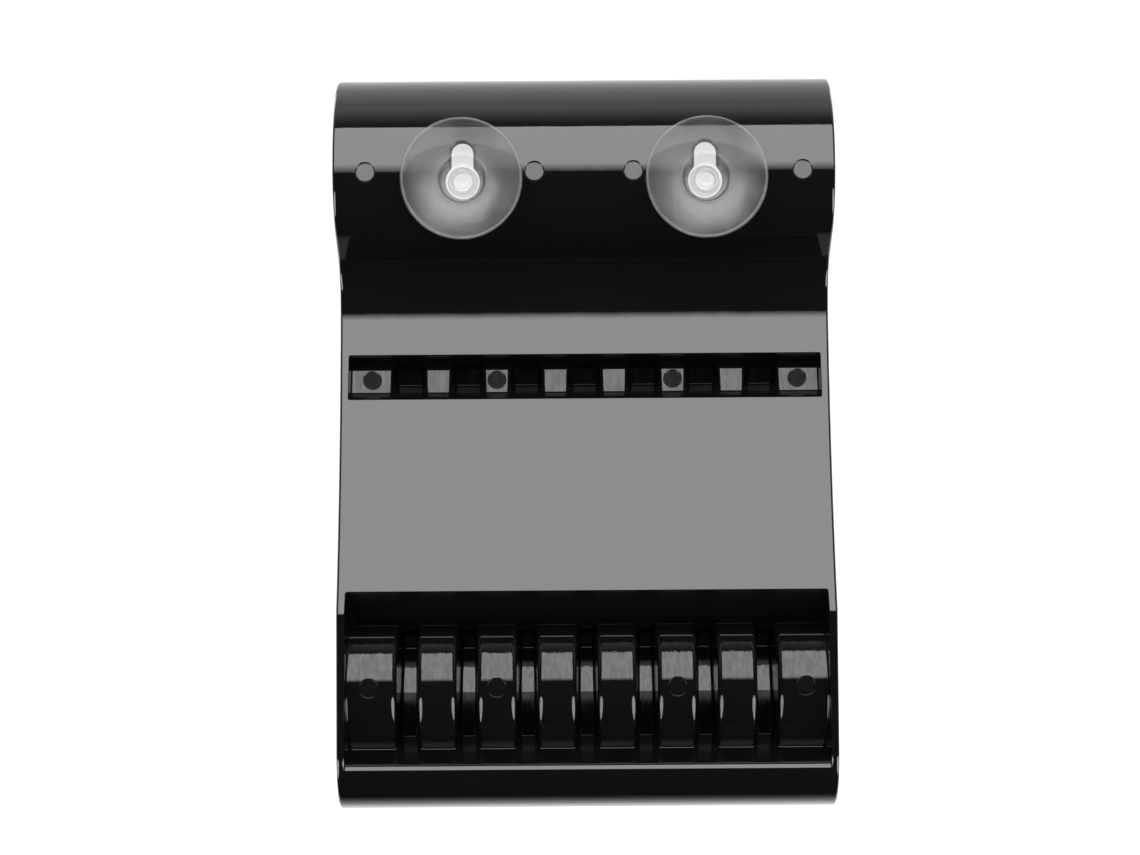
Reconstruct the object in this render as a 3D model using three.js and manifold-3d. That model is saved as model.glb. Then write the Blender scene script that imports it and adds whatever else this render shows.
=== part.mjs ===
// Wall rack with eight bays: a one-piece moulded shell that hangs on two suction cups.
// Units are millimetres. +Z points up the wall and +Y points away from it, into the room.
// The origin lies on the wall, midway between the axes of the two suction cups.

import * as THREE from 'three';
import { mergeVertices } from 'three/addons/utils/BufferGeometryUtils.js';
import Module from 'manifold-3d';

const wasm = await Module();
wasm.setup();

// ---------------------------------------------------------------- driving dimensions

const WIDTH = 166;
const WALL = 2.5;
const END_WALL = 3;
const STANDOFF = 11;
const BAY_PITCH = 20;
const BAYS = 8;
const CHORD_ERROR = 0.08;

// The shell's back surface, followed from the hood's front edge down to the lip's front edge.
// A tilt is the angle in degrees by which the surface faces up; a negative one faces down.
const HOOD_EDGE_TILT = 98;
const BACK_CURVE = [
  { name: 'hood', radius: 31.7, tilt: 1 },
  { name: 'crest', radius: 71, tilt: -1.2 },
  { name: 'crest_underside', radius: 26.4, tilt: -55 },
  { name: 'neck', run: 9.95 },
  { name: 'valley', radius: 17.7, tilt: -5 },
  { name: 'valley_floor', radius: 50, tilt: 7 },
  { name: 'ramp', radius: 395.5, tilt: 21 },
  { name: 'knee', radius: 10, tilt: 3.4 },
  { name: 'rack_face', run: 45.4 },
  { name: 'lip', radius: 19.1, tilt: -88 },
];
const CREST_Z = 6.01;

// Rear window of the upper rail. Each pair is [z, y]. A groove runs along the top of the
// window; the floors of the bays are shallow, and the hollow teeth between them are deep.
const UPPER_ROW = {
  topEdge: [-56.41, 36.15],
  groove: [-59.4, 44.2],
  bayTop: [-61.2, 42.0],
  bayBottom: [-68.9, 40.6],
  toothTop: [-61.0, 50.3],
  toothBottom: [-66.8, 50.6],
  bottomEdge: [-71.3, 33.7],
  hollowHalfWidth: 5.7,
  hollowDepthY: 42,
  draft: 14,
};

// Rear window of the lower rack. The bay floors arch towards the wall, and so do the
// hollow teeth between them, at a larger radius and further from the wall.
const LOWER_ROW = {
  topEdge: [-135.18, 15.98],
  groove: [-147.9, 33.0],
  bayArch: { centreZ: -169.5, centreY: 41.8, radius: 25.8, fromZ: -151.1, toZ: -181.2 },
  bayHeel: [-188.7, 24.6],
  toothTop: [-151.5, 41.0],
  toothArch: { centreZ: -181.0, centreY: 74.4, radius: 39.4, fromZ: -156.3, toZ: -186.1 },
  ledge: [-192.0, 12.69],
  bottomEdge: [-194.6, 11.24],
  hollowHalfWidth: 4.6,
  hollowDepthY: 16,
  draft: 4.5,
};

const KEYHOLE_X = 40;
const KEYHOLE_RADIUS = 5.6;
const KEYHOLE_SLOT_WIDTH = 7.1;
const KEYHOLE_TRAVEL = 9.1;
const KEYHOLE_CHAMFER = 1;

const PIN_MARK_RADIUS = 3;
const PIN_MARK_DEPTH = 0.3;
const CREST_MARK_Z = 3.3;
const CREST_MARKS_X = [16.3, 72.1];
const BAY_MARKS_X = [30, 72.5];
const UPPER_MARK_Z = -64.9;
const LOWER_MARK_Z = -167.4;

const CUP = {
  rimRadius: 20,
  membrane: 1.3,
  dishDepth: 5.2,
  bossRadius: 7.25,
  bossY: 10.7,
  neckRadius: 3.2,
  headY: 15.2,
  headRadius: 5.2,
  headHeight: 3.4,
  rimLand: 1.1,
};
const CUP_SEGMENTS = 40;

// ---------------------------------------------------------------- solids and cuts

const radians = THREE.MathUtils.degToRad;

function toSolid(geometry) {
  const bare = geometry.clone();
  bare.deleteAttribute('normal');
  bare.deleteAttribute('uv');
  const merged = mergeVertices(bare, 1e-5);
  return new wasm.Manifold(new wasm.Mesh({
    numProp: 3,
    vertProperties: new Float32Array(merged.attributes.position.array),
    triVerts: new Uint32Array(merged.index.array),
  }));
}

function toGeometry(solid) {
  const mesh = solid.getMesh();
  const geometry = new THREE.BufferGeometry();
  geometry.setAttribute('position', new THREE.BufferAttribute(mesh.vertProperties, 3));
  geometry.setIndex(new THREE.BufferAttribute(mesh.triVerts, 1));
  geometry.computeVertexNormals();
  return geometry;
}

// A solid with the outline of [z, y] points, running across the shell about centreX.
// Its half width may change with y, which gives its two flat sides a draft.
function solidAcross(outline, halfWidthAt, centreX = 0) {
  const shape = new THREE.Shape(outline.map(([z, y]) => new THREE.Vector2(y, z)));
  const geometry = new THREE.ExtrudeGeometry(shape, { depth: 1, bevelEnabled: false });
  const position = geometry.attributes.position;
  for (let i = 0; i < position.count; i += 1) {
    const y = position.getX(i);
    const z = position.getY(i);
    const side = 2 * position.getZ(i) - 1;
    position.setXYZ(i, centreX + side * halfWidthAt(y), y, z);
  }
  return toSolid(geometry);
}

// ---------------------------------------------------------------- back curve

function followBackCurve() {
  const points = [];
  let tilt = HOOD_EDGE_TILT;
  let z = 0;
  let y = 0;
  let crest = null;
  points.push({ z, y, tilt });
  for (const section of BACK_CURVE) {
    if (section.run) {
      z -= section.run * Math.cos(radians(tilt));
      y -= section.run * Math.sin(radians(tilt));
      points.push({ z, y, tilt });
      continue;
    }
    const stepAngle = 2 * Math.acos(1 - CHORD_ERROR / section.radius);
    const turn = radians(section.tilt - tilt);
    const steps = Math.ceil(Math.abs(turn) / stepAngle);
    const centreZ = z + Math.sign(turn) * section.radius * Math.sin(radians(tilt));
    const centreY = y - Math.sign(turn) * section.radius * Math.cos(radians(tilt));
    const start = radians(tilt);
    for (let i = 1; i <= steps; i += 1) {
      const angle = start + turn * i / steps;
      z = centreZ - Math.sign(turn) * section.radius * Math.sin(angle);
      y = centreY + Math.sign(turn) * section.radius * Math.cos(angle);
      points.push({ z, y, tilt: THREE.MathUtils.radToDeg(angle) });
    }
    tilt = section.tilt;
    crest = crest ?? { z, y };
  }
  return points.map((point) => ({
    z: point.z - crest.z + CREST_Z,
    y: point.y - crest.y + STANDOFF,
    tilt: point.tilt,
  }));
}

// Points of the back curve moved into the wall by the given depth, as [z, y].
function insideBackCurve(curve, depth) {
  return curve.map(({ z, y, tilt }) => [
    z - depth * Math.sin(radians(tilt)),
    y + depth * Math.cos(radians(tilt)),
  ]);
}

function backCurveAt(curve, z) {
  const next = curve.findIndex((point, i) => i > 0 && point.z <= z && curve[i - 1].z > z);
  const above = curve[next - 1];
  const below = curve[next];
  const t = (above.z - z) / (above.z - below.z);
  return {
    z,
    y: THREE.MathUtils.lerp(above.y, below.y, t),
    tilt: THREE.MathUtils.lerp(above.tilt, below.tilt, t),
  };
}

// ---------------------------------------------------------------- rows of bays

function archPoints({ centreZ, centreY, radius, fromZ, toZ }) {
  const from = Math.asin((fromZ - centreZ) / radius);
  const to = Math.asin((toZ - centreZ) / radius);
  const steps = Math.ceil((from - to) / (2 * Math.acos(1 - CHORD_ERROR / radius)));
  const points = [];
  for (let i = 0; i <= steps; i += 1) {
    const angle = THREE.MathUtils.lerp(from, to, i / steps);
    points.push([centreZ + radius * Math.sin(angle), centreY - radius * Math.cos(angle)]);
  }
  return points;
}

// Moves a line of [z, y] points, ordered downwards, away from the wall by the distance.
function offsetLine(line, distance) {
  const normals = line.slice(1).map(([z, y], i) => {
    const run = new THREE.Vector2(z - line[i][0], y - line[i][1]).normalize();
    return new THREE.Vector2(run.y, -run.x);
  });
  return line.map(([z, y], i) => {
    const before = normals[Math.max(i - 1, 0)];
    const after = normals[Math.min(i, normals.length - 1)];
    const mitre = before.clone().add(after).normalize();
    const reach = distance / mitre.dot(after);
    return [z + mitre.x * reach, y + mitre.y * reach];
  });
}

// Prolongs the two ends of a window's line to the wall side of the shell.
function openLine(line) {
  const reach = STANDOFF;
  const prolong = ([z, y], [innerZ, innerY]) => {
    const slope = (z - innerZ) / (y - innerY);
    return [z + slope * (reach - y), reach];
  };
  const [first, second] = line;
  const last = line[line.length - 1];
  const beforeLast = line[line.length - 2];
  return [prolong(first, second), ...line, prolong(last, beforeLast)];
}

// The outer skin of a recess: its line moved outwards, closed along the middle of the wall.
function skinOutline(line, curve) {
  const outer = offsetLine(line, WALL);
  const highZ = outer[0][0];
  const lowZ = outer[outer.length - 1][0];
  const middle = insideBackCurve(curve, WALL / 2);
  const closing = middle.filter(([z, y]) => z < highZ && z > lowZ && y < outer[0][1] + WALL);
  return [...outer, ...closing.reverse()];
}

function addRow(shell, row, bayLine, toothLine, curve) {
  const spread = Math.tan(radians(row.draft));
  const hollowAt = (y) => row.hollowHalfWidth - spread * (y - row.hollowDepthY);
  const toothAt = (y) => hollowAt(y) + WALL / Math.cos(radians(row.draft));
  const windowHalfWidth = WIDTH / 2 - END_WALL;
  const teethX = Array.from({ length: BAYS - 1 }, (_, i) => (i - (BAYS - 2) / 2) * BAY_PITCH);

  let built = shell.add(solidAcross(skinOutline(bayLine, curve), () => WIDTH / 2));
  for (const x of teethX) {
    built = built.add(solidAcross(skinOutline(toothLine, curve), toothAt, x));
  }
  built = built.subtract(solidAcross(openLine(bayLine), () => windowHalfWidth));
  for (const x of teethX) {
    built = built.subtract(solidAcross(openLine(toothLine), hollowAt, x));
  }
  return built;
}

// ---------------------------------------------------------------- keyholes and pin marks

function keyholeOutline() {
  const slotHalf = KEYHOLE_SLOT_WIDTH / 2;
  const meet = Math.asin(slotHalf / KEYHOLE_RADIUS);
  const shape = new THREE.Shape();
  shape.absarc(0, 0, KEYHOLE_RADIUS, Math.PI / 2 + meet, Math.PI / 2 - meet, false);
  shape.absarc(0, KEYHOLE_TRAVEL, slotHalf, 0, Math.PI, false);
  return shape;
}

// A through cut with a chamfered mouth on the wall side of the shell.
function keyholeCut(x) {
  const geometry = new THREE.ExtrudeGeometry(keyholeOutline(), {
    depth: STANDOFF,
    bevelEnabled: true,
    bevelSegments: 1,
    bevelSize: KEYHOLE_CHAMFER,
    bevelThickness: KEYHOLE_CHAMFER,
    curveSegments: 12,
  });
  geometry.rotateX(Math.PI / 2);
  geometry.translate(x, STANDOFF + KEYHOLE_CHAMFER / 2, 0);
  const mouth = toSolid(geometry);
  const through = new THREE.ExtrudeGeometry(keyholeOutline(), {
    depth: 2 * STANDOFF,
    bevelEnabled: false,
    curveSegments: 12,
  });
  through.rotateX(Math.PI / 2);
  through.translate(x, 2 * STANDOFF, 0);
  return mouth.add(toSolid(through));
}

function pinMarkCut(x, z, y, tilt) {
  const geometry = new THREE.CylinderGeometry(
    PIN_MARK_RADIUS, PIN_MARK_RADIUS, 2 * PIN_MARK_DEPTH, 20,
  );
  geometry.rotateX(-radians(tilt));
  geometry.translate(x, y, z);
  return toSolid(geometry);
}

function pinMarkCuts(curve) {
  const crest = backCurveAt(curve, CREST_MARK_Z);
  const { bayTop, bayBottom } = UPPER_ROW;
  const bayRise = (bayTop[1] - bayBottom[1]) / (bayTop[0] - bayBottom[0]);
  const bayY = bayBottom[1] + bayRise * (UPPER_MARK_Z - bayBottom[0]);
  const { centreZ, centreY, radius } = LOWER_ROW.bayArch;
  const archAngle = Math.asin((LOWER_MARK_Z - centreZ) / radius);
  const archY = centreY - radius * Math.cos(archAngle);
  const rows = [
    { xs: CREST_MARKS_X, z: CREST_MARK_Z, y: crest.y, tilt: crest.tilt },
    { xs: BAY_MARKS_X, z: UPPER_MARK_Z, y: bayY, tilt: Math.atan(bayRise) * 180 / Math.PI },
    { xs: BAY_MARKS_X, z: LOWER_MARK_Z, y: archY, tilt: archAngle * 180 / Math.PI },
  ];
  return rows.flatMap(({ xs, z, y, tilt }) => xs.flatMap((x) => [
    pinMarkCut(-x, z, y, tilt),
    pinMarkCut(x, z, y, tilt),
  ]));
}

// ---------------------------------------------------------------- shell

function buildShell() {
  const curve = followBackCurve();
  const back = insideBackCurve(curve, 0);
  const front = insideBackCurve(curve, WALL).reverse();
  let shell = solidAcross([...back, ...front], () => WIDTH / 2);

  const upper = UPPER_ROW;
  const upperEnd = [upper.bayBottom, upper.bottomEdge];
  const upperBay = [upper.topEdge, upper.groove, upper.bayTop, ...upperEnd];
  const upperTooth = [
    upper.topEdge, upper.groove, upper.toothTop, upper.toothBottom, ...upperEnd,
  ];
  shell = addRow(shell, upper, upperBay, upperTooth, curve);

  const lower = LOWER_ROW;
  const lowerStart = [lower.topEdge, lower.groove];
  const lowerEnd = [lower.ledge, lower.bottomEdge];
  const lowerBay = [
    ...lowerStart, ...archPoints(lower.bayArch), lower.bayHeel, ...lowerEnd,
  ];
  const lowerTooth = [
    ...lowerStart, lower.toothTop, ...archPoints(lower.toothArch), ...lowerEnd,
  ];
  shell = addRow(shell, lower, lowerBay, lowerTooth, curve);

  for (const x of [-KEYHOLE_X, KEYHOLE_X]) {
    shell = shell.subtract(keyholeCut(x));
  }
  for (const cut of pinMarkCuts(curve)) {
    shell = shell.subtract(cut);
  }
  return toGeometry(shell);
}

// ---------------------------------------------------------------- suction cups

// Half section of a suction cup as (radius, distance from the wall).
function cupSection() {
  const { rimRadius, membrane, dishDepth, bossRadius, bossY, rimLand } = CUP;
  const points = [];
  const dishSteps = 6;
  const dishRadius = rimRadius - rimLand;
  for (let i = 0; i <= dishSteps; i += 1) {
    const r = dishRadius * i / dishSteps;
    points.push(new THREE.Vector2(r, dishDepth * (1 - (r / dishRadius) ** 2)));
  }
  points.push(new THREE.Vector2(rimRadius, 0));
  for (let i = 0; i <= dishSteps; i += 1) {
    const r = THREE.MathUtils.lerp(rimRadius, bossRadius + membrane, i / dishSteps);
    points.push(new THREE.Vector2(r, membrane + dishDepth * (1 - (r / rimRadius) ** 2)));
  }
  points.push(new THREE.Vector2(bossRadius, bossY - membrane));
  points.push(new THREE.Vector2(bossRadius - membrane / 2, bossY));
  points.push(new THREE.Vector2(CUP.neckRadius, bossY));
  points.push(new THREE.Vector2(CUP.neckRadius, CUP.headY));
  const headSteps = 4;
  for (let i = 0; i < headSteps; i += 1) {
    const angle = i / headSteps * Math.PI / 2;
    points.push(new THREE.Vector2(
      CUP.headRadius * Math.cos(angle),
      CUP.headY + CUP.membrane / 2 + (CUP.headHeight - CUP.membrane / 2) * Math.sin(angle),
    ));
  }
  points.splice(points.length - headSteps, 0, new THREE.Vector2(CUP.headRadius, CUP.headY));
  points.push(new THREE.Vector2(0, CUP.headY + CUP.headHeight));
  return points;
}

function buildCup() {
  const geometry = new THREE.LatheGeometry(cupSection(), CUP_SEGMENTS);
  return toGeometry(toSolid(geometry));
}

// ---------------------------------------------------------------- assembly

const blackPlastic = new THREE.MeshStandardMaterial({
  color: 0x0c0c0d, roughness: 0.12, metalness: 0,
});
const clearVinyl = new THREE.MeshStandardMaterial({
  color: 0xdfe3e4, roughness: 0.15, metalness: 0, transparent: true, opacity: 0.4,
});

const rack = new THREE.Group();
const shell = new THREE.Mesh(buildShell(), blackPlastic);
shell.name = 'rack_shell';
rack.add(shell);

const cupGeometry = buildCup();
for (const [side, x] of [['left', -KEYHOLE_X], ['right', KEYHOLE_X]]) {
  const cup = new THREE.Mesh(cupGeometry, clearVinyl.clone());
  cup.name = `suction_cup_${side}`;
  cup.position.x = x;
  rack.add(cup);
}

export default rack;
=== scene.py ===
"""Studio scene of a wall rack: a glossy black shell that hangs on two clear suction cups."""
import math

import bpy
import numpy as np
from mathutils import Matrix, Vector


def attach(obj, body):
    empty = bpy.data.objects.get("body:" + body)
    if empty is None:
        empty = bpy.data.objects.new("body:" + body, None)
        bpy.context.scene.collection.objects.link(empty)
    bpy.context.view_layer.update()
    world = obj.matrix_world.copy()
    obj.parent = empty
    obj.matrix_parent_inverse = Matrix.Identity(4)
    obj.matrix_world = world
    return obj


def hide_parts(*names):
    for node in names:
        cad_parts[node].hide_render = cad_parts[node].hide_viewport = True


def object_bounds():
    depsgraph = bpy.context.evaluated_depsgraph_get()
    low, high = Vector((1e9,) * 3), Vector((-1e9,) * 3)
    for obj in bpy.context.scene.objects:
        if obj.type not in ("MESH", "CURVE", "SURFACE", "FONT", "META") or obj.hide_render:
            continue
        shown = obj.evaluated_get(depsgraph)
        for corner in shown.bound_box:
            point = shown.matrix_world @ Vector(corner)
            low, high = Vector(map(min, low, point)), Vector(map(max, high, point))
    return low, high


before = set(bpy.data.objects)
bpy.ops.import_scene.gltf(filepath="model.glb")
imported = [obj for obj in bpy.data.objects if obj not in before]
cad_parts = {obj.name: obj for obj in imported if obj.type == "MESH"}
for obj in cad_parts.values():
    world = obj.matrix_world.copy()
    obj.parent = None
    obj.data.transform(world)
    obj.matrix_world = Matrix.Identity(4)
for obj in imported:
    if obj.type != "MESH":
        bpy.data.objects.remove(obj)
cad_low, cad_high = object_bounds()

MM = 0.001

# ---------------------------------------------------------------- driving dimensions, in mm

HALF_WIDTH = 83.0
WALL = 2.5
END_WALL = 3.0
STANDOFF = 11.0
BAY_PITCH = 20.0
TOOTH_X = [BAY_PITCH * (i - 3) for i in range(7)]
CREST_Z = 6.01
HOOD_EDGE_TILT = 98.0

# The back surface from the hood's front edge down to the lip's front edge: an arc has its
# radius and the tilt it ends at, and a straight run has its length. Positive tilts face up.
BACK_CURVE = (
    ("arc", 31.7, 1.0),
    ("arc", 71.0, -1.2),
    ("arc", 26.4, -55.0),
    ("run", 9.95, None),
    ("arc", 17.7, -5.0),
    ("arc", 50.0, 7.0),
    ("arc", 395.5, 21.0),
    ("arc", 10.0, 3.4),
    ("run", 45.4, None),
    ("arc", 19.1, -88.0),
)

EDGE_RADIUS = 1.0
CORNER_RADIUS = 2.2

# Points of each rear window's outline are (z, y), in the order of the profile from its top.
# An arch is (z, y, radius), and a draft is the lean of a hollow's sides in degrees.
UPPER = dict(
    top=(-56.5, 36.4), groove=(-59.4, 44.2), bay_top=(-61.2, 42.0), bay_bottom=(-68.9, 40.6),
    tooth_top=(-61.0, 50.3), tooth_bottom=(-66.8, 50.6), bottom=(-71.2, 34.0),
    hollow_half=5.6, hollow_y=42.0, draft=8.0, lip_bevel=((-70.7, 35.2), (-71.4, 33.9)),
)
LOWER = dict(
    top=(-135.4, 16.28), groove=(-147.9, 33.0),
    bay_arch=(-169.5, 41.8, 25.8), bay_edge=(-151.1, 23.7),
    heel_start=(-181.2, 18.8), heel=(-188.7, 24.6),
    bead=(-150.95, 23.85, 0.3),
    tooth_top=(-151.5, 41.0), tooth_shoulder=(-156.3, 43.7), tooth_arch=(-181.0, 74.4, 39.4),
    ledge=(-192.0, 12.69), step=(-193.0, 11.94), bottom=(-194.15, 11.49),
    hollow_half=3.6, hollow_y=16.0, draft=2.6,
)

KEYHOLE_X = 40.0
KEYHOLE_RADIUS = 5.6
KEYHOLE_SLOT_HALF = 3.55
KEYHOLE_TRAVEL = 9.1
KEYHOLE_MIDDLE_Z = 3.0

# Round ejector-pin marks, as (x, z); each is on both sides of the middle.
MARK_RADIUS = 3.0
CREST_MARKS = [(16.3, 3.3), (72.1, 3.3)]
UPPER_MARKS = [(30.0, -64.9), (72.5, -64.9)]
LOWER_MARKS = [(30.0, -167.4), (72.5, -167.4)]
UPPER_MARK_FLOOR = (42.15, -3.0)    # y at the mark's centre, and tilt in degrees
LOWER_MARK_FLOOR = (16.75, -4.0)
CREST_MARK_TILT = 7.0
MARKS_FRONT_Y = 43.5                # all the marks lie nearer the wall than this

END_WALL_DRAFT = 5.0
BETWEEN_WINDOWS_Z = -100.0


# ---------------------------------------------------------------- back curve

def place_sections():
    """Each section of the back curve with its start length, start point and start tilt."""
    sections = []
    s, z, y, tilt = 0.0, 0.0, 0.0, math.radians(HOOD_EDGE_TILT)
    crest = None
    for kind, size, end in BACK_CURVE:
        if kind == "run":
            sections.append(dict(s=s, length=size, z=z, y=y, tilt=tilt, radius=None, sign=0))
            z -= size * math.cos(tilt)
            y -= size * math.sin(tilt)
            s += size
            continue
        end_tilt = math.radians(end)
        sign = 1 if end_tilt > tilt else -1
        length = abs(end_tilt - tilt) * size
        sections.append(dict(s=s, length=length, z=z, y=y, tilt=tilt, radius=size, sign=sign))
        z += sign * size * (math.sin(tilt) - math.sin(end_tilt))
        y -= sign * size * (math.cos(tilt) - math.cos(end_tilt))
        s += length
        tilt = end_tilt
        if crest is None:
            crest = (z, y)
    for section in sections:
        section["z"] += CREST_Z - crest[0]
        section["y"] += STANDOFF - crest[1]
    return sections, s


SECTIONS, CURVE_LENGTH = place_sections()


def along_curve(s):
    """z, y and tilt of the back curve at the lengths s."""
    s = np.asarray(s, float)
    z, y, tilt = np.zeros_like(s), np.zeros_like(s), np.zeros_like(s)
    for section in SECTIONS:
        here = s >= section["s"] - 1e-9
        run = s[here] - section["s"]
        start = section["tilt"]
        if section["radius"] is None:
            z[here] = section["z"] - run * math.cos(start)
            y[here] = section["y"] - run * math.sin(start)
            tilt[here] = start
            continue
        sign, radius = section["sign"], section["radius"]
        now = start + sign * run / radius
        z[here] = section["z"] + sign * radius * (math.sin(start) - np.sin(now))
        y[here] = section["y"] - sign * radius * (math.cos(start) - np.cos(now))
        tilt[here] = now
    return z, y, tilt


TABLE_S = np.linspace(0.0, CURVE_LENGTH, 12000)
TABLE_Z, TABLE_Y, TABLE_TILT = along_curve(TABLE_S)
FALLING = np.abs(TABLE_TILT) < math.radians(80)


def at_height(z, table):
    """A value of the back curve at the heights z, where the curve has one point per height."""
    return np.interp(-np.asarray(z, float), -TABLE_Z[FALLING], table[FALLING])


def outward(tilt):
    """Direction out of the back surface, towards the wall, where it has a tilt."""
    return np.array([0.0, -math.cos(tilt), math.sin(tilt)])


# ---------------------------------------------------------------- fields of the two windows
# A field is positive inside the wall and negative on the air side, in mm.

def round_min(a, b, radius):
    """Both fields at once, with the outer corner rounded."""
    corner = np.hypot(np.maximum(radius - a, 0), np.maximum(radius - b, 0))
    return np.maximum(radius, np.minimum(a, b)) - corner


def round_max(a, b, radius):
    """Either field, with the inner corner rounded."""
    corner = np.hypot(np.maximum(radius + a, 0), np.maximum(radius + b, 0))
    return np.minimum(-radius, np.maximum(a, b)) + corner


def facet(z, y, start, end):
    """Field of the flat face through two profile points, which run down the window."""
    run_z, run_y = end[0] - start[0], end[1] - start[1]
    length = math.hypot(run_z, run_y)
    return ((z - start[0]) * run_y - (y - start[1]) * run_z) / length


def arch(z, y, centre_z, centre_y, radius):
    """Field of a round face that bulges towards the wall."""
    return radius - np.hypot(z - centre_z, np.maximum(centre_y - y, 0))


def hollow_sides(x, y, row):
    """Field of the side walls of the hollows in a row of teeth."""
    draft = math.radians(row["draft"])
    half = row["hollow_half"] - math.tan(draft) * (y - row["hollow_y"])
    nearest = np.abs(np.abs(x) - BAY_PITCH * np.clip(np.round(np.abs(x) / BAY_PITCH), 0, 3))
    return (nearest - half) * math.cos(draft)


def upper_field(x, y, z, shift, outer, inner):
    """Field of the rail's window, moved by shift, with outer and inner corner radii."""
    row = UPPER
    top = facet(z, y, row["top"], row["groove"]) - shift
    top_of_tooth = facet(z, y, row["groove"], row["tooth_top"]) - shift
    sides = hollow_sides(x, y, row) - shift
    bay = facet(z, y, row["bay_top"], row["bay_bottom"]) - shift
    bay_end = facet(z, y, row["groove"], row["bay_top"]) - shift
    floor = facet(z, y, row["tooth_top"], row["tooth_bottom"]) - shift
    bottom = facet(z, y, row["bay_bottom"], row["bottom"]) - shift
    bottom_of_tooth = facet(z, y, row["tooth_bottom"], row["bay_bottom"]) - shift
    bevel = facet(z, y, *row["lip_bevel"]) - shift
    roof = round_min(top, round_max(top_of_tooth, sides, inner), outer)
    post = round_min(bay, bay_end, 0.35 * outer)
    post = round_min(post, round_max(sides, floor, 2 * inner), 1.15 * outer)
    base = round_min(round_min(bottom, bottom_of_tooth, outer), bevel, 0.1)
    return round_max(round_max(roof, post, 0.4 * inner), base, inner)


def lower_field(x, y, z, shift, outer, inner):
    """Field of the rack's window, moved by shift, with outer and inner corner radii."""
    row = LOWER
    top = facet(z, y, row["top"], row["groove"]) - shift
    top_of_tooth = facet(z, y, row["groove"], row["tooth_top"]) - shift
    sides = hollow_sides(x, y, row) - shift
    bay = round_min(
        arch(z, y, *row["bay_arch"]) - shift,
        facet(z, y, row["heel_start"], row["heel"]) - shift,
        0.5,
    )
    bay_end = facet(z, y, row["groove"], row["bay_edge"]) - shift
    bead_z, bead_y, bead_radius = row["bead"]
    bead = bead_radius - np.hypot(z - bead_z, y - bead_y) - shift
    shoulder = facet(z, y, row["tooth_top"], row["tooth_shoulder"]) - shift
    floor = round_max(shoulder, arch(z, y, *row["tooth_arch"]) - shift, inner)
    bottom = facet(z, y, row["heel"], row["ledge"]) - shift
    step = facet(z, y, row["ledge"], row["step"]) - shift
    bevel = facet(z, y, row["step"], row["bottom"]) - shift
    roof = round_min(top, round_max(top_of_tooth, sides, inner), outer)
    post = round_max(round_min(bay, bay_end, 0.2 * outer), bead, 0.1)
    post = round_min(post, round_max(sides, floor, inner), 1.7 * outer)
    base = round_min(round_min(bottom, step, 0.3), bevel, 0.12)
    return round_max(round_max(roof, post, 0.5 * inner), base, 0.5 * inner)


def cut_marks(field, x, y, z, marks, face_y, face_tilt):
    """The field with shallow round ejector-pin marks, whose flat floors are at face_y."""
    slope = math.tan(math.radians(face_tilt))
    for mark_x, mark_z in marks:
        away = np.hypot(np.abs(x) - mark_x, z - mark_z) - MARK_RADIUS
        floor = y - face_y - slope * (z - mark_z)
        field = round_min(field, np.maximum(floor, away), 0.16)
    return field


def shell_field(x, y, z, front):
    """Field of the shell's back surface, or of its front surface, near the two windows."""
    shift = WALL if front else 0.0
    outer, inner = (0.8, 1.3) if front else (1.1, 0.7)
    tilt = at_height(z, TABLE_TILT)
    base = (y - at_height(z, TABLE_Y)) * np.cos(tilt) - shift
    upper = upper_field(x, y, z, shift, 0.8 * outer, 0.6 * inner)
    lower = lower_field(x, y, z, shift, outer, inner)
    if not front:
        draft = math.radians(END_WALL_DRAFT)
        ends = (np.abs(x) - (HALF_WIDTH - END_WALL)) * math.cos(draft)
        upper = round_max(upper, ends + (y - UPPER["top"][1]) * math.sin(draft), 0.4)
        lower = round_max(lower, ends + (y - LOWER["top"][1]) * math.sin(draft), 0.5)
        upper = cut_marks(upper, x, y, z, UPPER_MARKS, *UPPER_MARK_FLOOR)
        lower = cut_marks(lower, x, y, z, LOWER_MARKS, *LOWER_MARK_FLOOR)
    window = np.where(z > BETWEEN_WINDOWS_Z, upper, lower)
    return round_min(base, window, 0.9 if front else 0.22)


def snap_to_marks(x, z, marks):
    """Moves the grid points nearest a mark's outline onto two circles just inside and outside."""
    for mark_x, mark_z in marks:
        dx, dz = np.abs(x) - mark_x, z - mark_z
        away = np.hypot(dx, dz)
        for low, high, circle in ((-0.24, 0.02, -0.07), (0.02, 0.28, 0.07)):
            near = (away > MARK_RADIUS + low) & (away <= MARK_RADIUS + high)
            scale = np.where(near, (MARK_RADIUS + circle) / np.maximum(away, 1e-6), 1.0)
            x = np.where(near, np.sign(x) * (mark_x + dx * scale), x)
            z = np.where(near, mark_z + dz * scale, z)
    return x, z


def find_surface(x, z, front):
    """y of the surface at each (x, z), by bisection, and its outward normal."""
    low = at_height(z, TABLE_Y) - 2.0
    high = np.full_like(low, 60.0)
    for _ in range(26):
        middle = (low + high) / 2
        inside = shell_field(x, middle, z, front) > 0
        high = np.where(inside, middle, high)
        low = np.where(inside, low, middle)
    y = (low + high) / 2
    step = 0.03
    gradient = [
        shell_field(x + dx, y + dy, z + dz, front) - shell_field(x - dx, y - dy, z - dz, front)
        for dx, dy, dz in ((step, 0, 0), (0, step, 0), (0, 0, step))
    ]
    normal = np.stack(gradient, -1) * (1 if front else -1)
    normal /= np.linalg.norm(normal, axis=-1, keepdims=True)
    return y, normal


# ---------------------------------------------------------------- rows and columns of the shell

def spread(start, end, step):
    """Even places from start to end, at most a step apart."""
    count = max(1, int(math.ceil(abs(end - start) / step)))
    return list(np.linspace(start, end, count + 1))


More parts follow.
